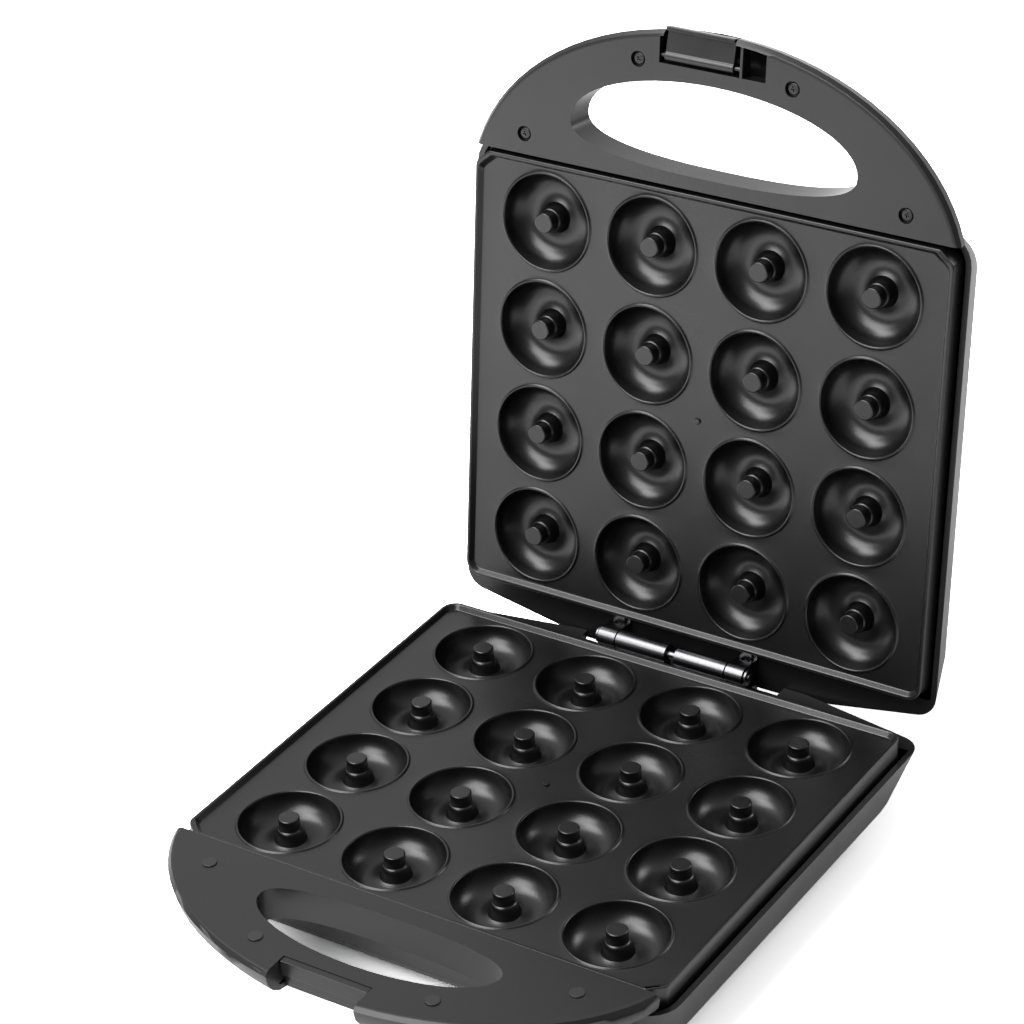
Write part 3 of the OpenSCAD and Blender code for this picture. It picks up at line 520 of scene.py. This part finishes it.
for node, (name, width, slot, body) in small.items():
    small[node] = rounded(node, name, width, body, segments=3, angle=30)

# %% [markdown]
# The four screws in the upper handle are the only ones in plain sight. Each is a pan
# head with a cross recess: a cylinder with a rounded rim, less two crossed wedges.
# %% One cross-head screw, copied to its sockets
def cross_screw(name, head_d, head_h, shank_d, length):
    bpy.ops.object.select_all(action="DESELECT")
    bpy.ops.mesh.primitive_cylinder_add(vertices=40, radius=head_d / 2, depth=head_h,
                                        location=(0, 0, -head_h / 2))
    screw = bpy.context.object
    screw.name = name
    bpy.ops.object.transform_apply(location=True)
    edit(screw, "FACE")
    pick(screw, lambda co: co.z < -head_h + 0.01)
    bpy.ops.mesh.inset(thickness=(head_d - shank_d) / 2)
    bpy.ops.mesh.extrude_region_move(TRANSFORM_OT_translate={"value": (0, 0, -length)})
    done()
    modify(screw, "BEVEL", width=head_h * 0.3, segments=4, limit_method="ANGLE",
           angle_limit=math.radians(50))
    for quarter in (0, 90):
        bpy.ops.mesh.primitive_cube_add(size=1, location=(0, 0, 0),
                                        rotation=(0, 0, math.radians(quarter)),
                                        scale=(head_d * 0.42, head_d * 0.1, head_h * 0.6))
        wedge = bpy.context.object
        bpy.ops.object.transform_apply(rotation=True, scale=True)
        modify(screw, "BOOLEAN", object=wedge, operation="DIFFERENCE", solver="EXACT")
        bpy.data.objects.remove(wedge)
    count(screw)
    return screw


def loose_solids(node):
    """Points of each separate solid of a CAD node, from a scratch copy."""
    copy = plain_copy(frame["nodes"][node], "loose")
    edit(copy)
    bpy.ops.mesh.select_all(action="SELECT")
    bpy.ops.mesh.remove_doubles(threshold=0.01 * MM)
    bpy.ops.mesh.separate(type="LOOSE")
    done()
    solids = []
    for part in list(bpy.context.selected_objects):
        solids.append([v.co.copy() for v in part.data.vertices])
        bpy.data.objects.remove(part)
    return solids


lid_out = (swing_open.to_3x3() @ Vector((0, 0, -1))).normalized()
face_out = lid_out.to_track_quat("Z", "Y").to_matrix().to_4x4()
screw_model = cross_screw("cross_screw", head_d=5.4, head_h=2.0, shank_d=2.6, length=6)
heads = []
for k, points in enumerate(loose_solids("upper_handle_screws")):
    top = max(point.dot(lid_out) for point in points)
    middle = sum(points, Vector()) / len(points)
    middle += lid_out * (top - middle.dot(lid_out))
    driven = Matrix.Rotation(0.4 + k, 4, "Z")  # each stops at its own angle
    head = plain_copy(screw_model, f"socket_screw_{k}")
    place(head, Matrix.Translation(middle) @ face_out @ driven @ Matrix.Scale(MM, 4))
    heads.append(head)
bpy.data.objects.remove(screw_model)
socket_screws = join("socket_screws", *heads)
smooth(socket_screws, 40)
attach(socket_screws, "lid")
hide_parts("upper_handle_screws")
count(socket_screws)

# %% [markdown]
# ## Finishes
# Two effects serve all materials, so each is a node group: a fine grain, as of
# spark-eroded moulds or sprayed coats, and broad cloudy wear from wiping and heat.
# They hand out only masks and heights. The shaders stay in the materials.
# %% Node groups for grain and clouds
def sockets(group, inputs, outputs):
    for label, value in inputs:
        kind = "NodeSocketVector" if value is None else "NodeSocketFloat"
        socket = group.interface.new_socket(label, in_out="INPUT", socket_type=kind)
        if value is not None:
            socket.default_value = value
    for label in outputs:
        group.interface.new_socket(label, in_out="OUTPUT", socket_type="NodeSocketFloat")


def noise(group, inside, scale_label, detail, roughness):
    """A noise texture that reads the group's own Vector and Scale."""
    made = group.nodes.new("ShaderNodeTexNoise")
    made.inputs["Detail"].default_value = detail
    made.inputs["Roughness"].default_value = roughness
    group.links.new(inside.outputs["Vector"], made.inputs["Vector"])
    group.links.new(inside.outputs[scale_label], made.inputs["Scale"])
    return made.outputs["Fac"]


grain = bpy.data.node_groups.new("fine_grain", "ShaderNodeTree")
sockets(grain, (("Vector", None), ("Scale", 2600.0), ("Mottle scale", 900.0)),
        ("Height", "Mottle"))
inside, out = grain.nodes.new("NodeGroupInput"), grain.nodes.new("NodeGroupOutput")
pits = noise(grain, inside, "Scale", detail=1, roughness=0.5)
mottle = noise(grain, inside, "Mottle scale", detail=2, roughness=0.65)
grain.links.new(pits, out.inputs["Height"])
grain.links.new(mottle, out.inputs["Mottle"])

clouds = bpy.data.node_groups.new("cloudy_wear", "ShaderNodeTree")
sockets(clouds, (("Vector", None), ("Scale", 18.0), ("Low", 0.0), ("High", 1.0)),
        ("Mask",))
inside, out = clouds.nodes.new("NodeGroupInput"), clouds.nodes.new("NodeGroupOutput")
spread = clouds.nodes.new("ShaderNodeMapRange")
spread.inputs["From Min"].default_value = 0.3
spread.inputs["From Max"].default_value = 0.7
clouds.links.new(noise(clouds, inside, "Scale", detail=3, roughness=0.6),
                 spread.inputs["Value"])
clouds.links.new(inside.outputs["Low"], spread.inputs["To Min"])
clouds.links.new(inside.outputs["High"], spread.inputs["To Max"])
clouds.links.new(spread.outputs["Result"], out.inputs["Mask"])
print("node groups:", grain.name, clouds.name)

# %% [markdown]
# A finish is a colour that varies a little with the mottle, a roughness that drifts
# with the clouds, and a bump from the grain. One recipe with different numbers makes
# satin plastic, sprayed coating, rubber, plated steel and the rest. A Mix node keeps
# a set of sockets for each kind of value, so its two inputs and its result are found
# by their numbers.
# %% The recipe for a finish
mix_sockets = {"FLOAT": (2, 3, 0), "RGBA": (6, 7, 2)}


def mix(tree, kind, factor, first, second):
    """Blends two values or outputs by a factor and returns the result's socket."""
    made = tree.nodes.new("ShaderNodeMix")
    made.data_type = kind
    first_at, second_at, result_at = mix_sockets[kind]
    for number, value in ((first_at, first), (second_at, second)):
        if isinstance(value, bpy.types.NodeSocket):
            tree.links.new(value, made.inputs[number])
        else:
            made.inputs[number].default_value = value
    tree.links.new(factor, made.inputs[0])
    return made.outputs[result_at]


def finish(name, dark, light, rough, bump=0.1, depth=0.05, scale=1500.0, mottle_scale=900.0,
           cloud_scale=18.0, metallic=0.0, coat=0.0, stretch=(1, 1, 1)):
    material = bpy.data.materials.new(name)
    material.use_nodes = True
    tree = material.node_tree
    shader = tree.nodes["Principled BSDF"]
    where = tree.nodes.new("ShaderNodeTexCoord")
    mapping = tree.nodes.new("ShaderNodeMapping")
    mapping.inputs["Scale"].default_value = stretch
    fine, wear = tree.nodes.new("ShaderNodeGroup"), tree.nodes.new("ShaderNodeGroup")
    fine.node_tree, wear.node_tree = grain, clouds
    fine.inputs["Scale"].default_value = scale
    fine.inputs["Mottle scale"].default_value = mottle_scale
    wear.inputs["Scale"].default_value = cloud_scale
    wear.inputs["Low"].default_value, wear.inputs["High"].default_value = rough
    raised = tree.nodes.new("ShaderNodeBump")
    raised.inputs["Strength"].default_value = bump
    raised.inputs["Distance"].default_value = depth * MM
    tree.links.new(where.outputs["Object"], mapping.inputs["Vector"])
    for group in (fine, wear):
        tree.links.new(mapping.outputs["Vector"], group.inputs["Vector"])
    colour = mix(tree, "RGBA", fine.outputs["Mottle"], (*dark, 1), (*light, 1))
    tree.links.new(colour, shader.inputs["Base Color"])
    tree.links.new(wear.outputs["Mask"], shader.inputs["Roughness"])
    tree.links.new(fine.outputs["Height"], raised.inputs["Height"])
    tree.links.new(raised.outputs["Normal"], shader.inputs["Normal"])
    shader.inputs["Metallic"].default_value = metallic
    shader.inputs["Coat Weight"].default_value = coat
    return material


def polish_cups(material, colour_in_cup, rough_in_cup):
    """Inside the cups the coating is even in colour and gloss."""
    tree = material.node_tree
    shader = tree.nodes["Principled BSDF"]
    mask = tree.nodes.new("ShaderNodeAttribute")
    mask.attribute_name = "polish"
    for label, value, kind in (("Base Color", (*colour_in_cup, 1), "RGBA"),
                               ("Roughness", rough_in_cup, "FLOAT")):
        socket = shader.inputs[label]
        outside = socket.links[0].from_socket
        tree.links.new(mix(tree, kind, mask.outputs["Fac"], outside, value), socket)


# %% [markdown]
# The shells are satin black plastic. The plates carry a sprayed coating with a fine
# speckle, which is even inside the cups. The hinge is black-plated steel, and the
# handle screws and the clasp's pin are a darker, oiled steel. The inner parts have
# the plain metals, plastics and glass of their trade. The colours are linear values,
# dark first and light second, and the pair after them is the roughness, low to high.
# %% Finishes of the machine
finishes = {
    "black_plastic": finish(
        "satin_black_plastic", (0.003, 0.003, 0.0031), (0.007, 0.007, 0.0073), (0.27, 0.36),
        bump=0.12),
    "nonstick_metal": finish(
        "speckled_coating", (0.0012, 0.0012, 0.0013), (0.007, 0.007, 0.0073), (0.26, 0.34),
        bump=0.55, scale=1300, mottle_scale=1500),
    "rubber": finish(
        "soft_rubber", (0.006, 0.006, 0.006), (0.014, 0.014, 0.014), (0.5, 0.65), bump=0.2),
    "zinc_steel": finish(
        "zinc_plated_steel", (0.42, 0.42, 0.44), (0.62, 0.62, 0.64), (0.22, 0.4),
        metallic=1.0, stretch=(1, 1, 6)),
    "black_steel": finish(
        "black_plated_steel", (0.1, 0.1, 0.104), (0.17, 0.17, 0.176), (0.22, 0.32),
        metallic=1.0, bump=0.05),
    "heater_steel": finish(
        "heat_tinted_steel", (0.16, 0.14, 0.13), (0.34, 0.31, 0.28), (0.35, 0.55),
        metallic=0.9, cloud_scale=40),
    "sheet_aluminium": finish(
        "rolled_aluminium", (0.55, 0.55, 0.56), (0.75, 0.75, 0.76), (0.25, 0.4),
        metallic=1.0, stretch=(0.06, 1, 1)),
    "brown_plastic": finish(
        "brown_phenolic", (0.09, 0.035, 0.016), (0.16, 0.07, 0.035), (0.35, 0.5)),
    "ivory_plastic": finish(
        "ivory_plastic", (0.6, 0.55, 0.42), (0.72, 0.67, 0.54), (0.35, 0.5)),
    "wire_cover": finish(
        "silicone_wire_cover", (0.3, 0.02, 0.012), (0.46, 0.05, 0.03), (0.45, 0.6)),
    "red_lens": finish(
        "red_lens", (0.35, 0.008, 0.006), (0.5, 0.02, 0.012), (0.1, 0.2), bump=0.02, coat=0.5),
    "green_lens": finish(
        "green_lens", (0.01, 0.2, 0.04), (0.03, 0.32, 0.07), (0.1, 0.2), bump=0.02, coat=0.5),
    "board": finish("board_resin", (0.01, 0.09, 0.03), (0.03, 0.16, 0.06), (0.3, 0.45)),
    "lamp_glass": finish(
        "amber_lamp_glass", (0.6, 0.2, 0.04), (0.8, 0.34, 0.08), (0.06, 0.14), coat=0.6),
}
polish_cups(finishes["nonstick_metal"], (0.0012, 0.0012, 0.00125), 0.31)
dark_oxide = finish("dark_oxide", (0.03, 0.03, 0.031), (0.06, 0.06, 0.062), (0.3, 0.4),
                    metallic=1.0)
print(len(finishes) + 1, "finishes")

# %% [markdown]
# The record says which material slot each CAD node has, so every node and every piece
# that stands in for one takes the finish of that slot. The handle screws and the
# clasp's pin then get the dark oxide instead.
# %% Put every piece in its finish
slot_of = {entry["node"]: entry["material_slot"] for entry in frame["record"]["subparts"]}
for node, obj in frame["nodes"].items():
    obj.data.materials.clear()
    obj.data.materials.append(finishes[slot_of[node]])
stood_in = {**shells, **small, "lower_plate": lower_plate, "upper_plate": upper_plate,
            "upper_handle_screws": socket_screws}
for node, obj in stood_in.items():
    obj.data.materials.clear()
    obj.data.materials.append(finishes[slot_of[node]])
for obj in (socket_screws, frame["nodes"]["latch_pin"]):
    obj.data.materials[0] = dark_oxide
print(len(frame["nodes"]), "CAD nodes and", len(stood_in), "modelled pieces finished")

# %% [markdown]
# ## Camera, floor and light
# The camera stands a metre and a half away with a long lens, so the machine keeps
# nearly parallel edges. It looks down by thirty degrees from the right, and is rolled
# a little. Its place is counted from the middle of the lower cups along its own axes.
# %% Camera
cup_middle = Vector((0, plate_middle, ring_level))
azimuth, elevation, roll = map(math.radians, (34.555, 30.200, -3.555))
level_right = Vector((math.cos(azimuth), math.sin(azimuth), 0))
back = Vector((math.sin(azimuth) * math.cos(elevation), -math.cos(azimuth) * math.cos(elevation),
               math.sin(elevation)))
level_up = back.cross(level_right)
right = level_right * math.cos(roll) + level_up * math.sin(roll)
up = level_up * math.cos(roll) - level_right * math.sin(roll)
camera = bpy.data.objects.new("camera", bpy.data.cameras.new("camera"))
bpy.context.scene.collection.objects.link(camera)
to_right, to_top, away = -13.916, 116.067, 1499.52
stand = cup_middle + (right * to_right + up * to_top + back * away) * MM
camera.matrix_world = Matrix.Translation(stand) @ Matrix((right, up, back)).transposed().to_4x4()
camera.data.lens, camera.data.sensor_width = 123.86, 36
camera.data.shift_x, camera.data.shift_y = -0.00148, -0.00158
camera.data.clip_end = 30
bpy.context.scene.camera = camera
print("camera stands at", tuple(round(v, 3) for v in stand))

# %% [markdown]
# The studio is a white floor under a white sky. The lens sees both as plain white: for
# its rays the floor's matt layer counts three times, so a shadow only shows close
# under the machine. In reflections only, the floor carries a painted glow that grows
# brighter to the left, standing in for a big window beside it; this painted reflection
# gives the black faces their slow fall from left to right.
# %% Helpers for floor and sky
def math_node(tree, operation, a, b):
    made = tree.nodes.new("ShaderNodeMath")
    made.operation = operation
    for slot_number, value in ((0, a), (1, b)):
        if isinstance(value, (int, float)):
            made.inputs[slot_number].default_value = value
        else:
            tree.links.new(value, made.inputs[slot_number])
    return made.outputs[0]


def ramp(tree, value, start, stop, low, high):
    """Turns a value between start and stop to one between low and high."""
    made = tree.nodes.new("ShaderNodeMapRange")
    for label, number in (("From Min", start), ("From Max", stop),
                          ("To Min", low), ("To Max", high)):
        made.inputs[label].default_value = number
    tree.links.new(value, made.inputs["Value"])
    return made.outputs["Result"]


# %% Floor
bpy.ops.object.select_all(action="DESELECT")
bpy.ops.mesh.primitive_plane_add(size=24, location=(0, 0, 0))
floor = bpy.context.object
floor.name = "studio_floor"
paper = bpy.data.materials.new("white_paper")
paper.use_nodes = True
tree = paper.node_tree
tree.nodes.clear()
output = tree.nodes.new("ShaderNodeOutputMaterial")
rays = tree.nodes.new("ShaderNodeLightPath")


def added(first, second):
    both = tree.nodes.new("ShaderNodeAddShader")
    tree.links.new(first, both.inputs[0])
    tree.links.new(second, both.inputs[1])
    return both.outputs[0]


def matt(fibre_low, fibre_high):
    """White paper with a faint cloudy fibre."""
    sheet = tree.nodes.new("ShaderNodeBsdfDiffuse")
    fibre = tree.nodes.new("ShaderNodeTexNoise")
    fibre.inputs["Scale"].default_value = 40
    shade = mix(tree, "RGBA", fibre.outputs["Fac"], (*[fibre_low] * 3, 1),
                (*[fibre_high] * 3, 1))
    tree.links.new(shade, sheet.inputs["Color"])
    return sheet.outputs[0]


sheet = matt(0.84, 0.88)
tripled = added(added(sheet, sheet), sheet)
chosen = tree.nodes.new("ShaderNodeMixShader")
tree.links.new(rays.outputs["Is Camera Ray"], chosen.inputs[0])
tree.links.new(sheet, chosen.inputs[1])
tree.links.new(tripled, chosen.inputs[2])
where = tree.nodes.new("ShaderNodeTexCoord")
axes = tree.nodes.new("ShaderNodeSeparateXYZ")
tree.links.new(where.outputs["Object"], axes.inputs[0])
# Painted reflection: the floor glows for glossy rays only, brighter to the left.
painted_reflection_strength = ramp(tree, axes.outputs["X"], start=-0.75, stop=-0.22, low=1.85, high=0.0)
painted_reflection_glow = tree.nodes.new("ShaderNodeEmission")
tree.links.new(math_node(tree, "MULTIPLY", rays.outputs["Is Glossy Ray"], painted_reflection_strength),
               painted_reflection_glow.inputs["Strength"])
tree.links.new(added(chosen.outputs[0], painted_reflection_glow.outputs[0]), output.inputs["Surface"])
floor.data.materials.append(paper)
print("floor:", tuple(round(d, 1) for d in floor.dimensions))

# %% [markdown]
# The sky lights the machine evenly at half strength, and the lens sees it as plain
# white. In reflections it is brighter behind the machine to the left, where the window
# stands, and darker away from it. The dot product of a direction with the window's
# own direction says how near to the window it points.
# %% Sky
sky = bpy.data.worlds.new("studio_sky")
sky.use_nodes = True
tree = sky.node_tree
rays = tree.nodes.new("ShaderNodeLightPath")
toward = tree.nodes.new("ShaderNodeTexCoord")
facing = tree.nodes.new("ShaderNodeVectorMath")
facing.operation = "DOT_PRODUCT"
facing.inputs[1].default_value = (-0.45, 0.69, 0.57)
tree.links.new(toward.outputs["Generated"], facing.inputs[0])
window = ramp(tree, facing.outputs["Value"], start=-0.2, stop=0.85, low=-0.3, high=0.4)
plain_light = 0.5
to_white = math_node(tree, "MULTIPLY", rays.outputs["Is Camera Ray"], 1 - plain_light)
mirrored = math_node(tree, "MULTIPLY", rays.outputs["Is Glossy Ray"], window)
extra = math_node(tree, "ADD", to_white, mirrored)
backdrop = tree.nodes["Background"]
tree.links.new(math_node(tree, "ADD", extra, plain_light), backdrop.inputs["Strength"])
backdrop.inputs["Color"].default_value = (1, 1, 1, 1)
bpy.context.scene.world = sky
print("sky:", sky.name, "with", len(tree.nodes), "nodes")

# %% [markdown]
# A softbox in front lights the cups of the lid from the left. One overhead to the left
# draws the highlights on what faces up and sets the shadow to the right. A weak one
# behind to the right keeps the far edges readable. The lens doesn't see any of them.
# %% Lamps
def lamp(name, place_at, aim, size, watts):
    data = bpy.data.lights.new(name, "AREA")
    data.size, data.energy = size, watts
    obj = bpy.data.objects.new(name, data)
    bpy.context.scene.collection.objects.link(obj)
    obj.location = place_at
    obj.rotation_mode = "QUATERNION"
    obj.rotation_quaternion = (Vector(place_at) - Vector(aim)).to_track_quat("Z", "Y")
    obj.visible_camera = False
    return obj


lamp("front_softbox", (-0.3, -0.95, 1.2), (0, 0, 0.15), 1.0, 26)
lamp("overhead_softbox", (-0.8, -0.3, 1.5), (0, 0, 0.15), 0.8, 17)
lamp("rear_softbox", (0.95, 1.4, 1.0), (0, 0, 0.1), 0.7, 8)
bpy.context.scene.view_settings.view_transform = "Standard"
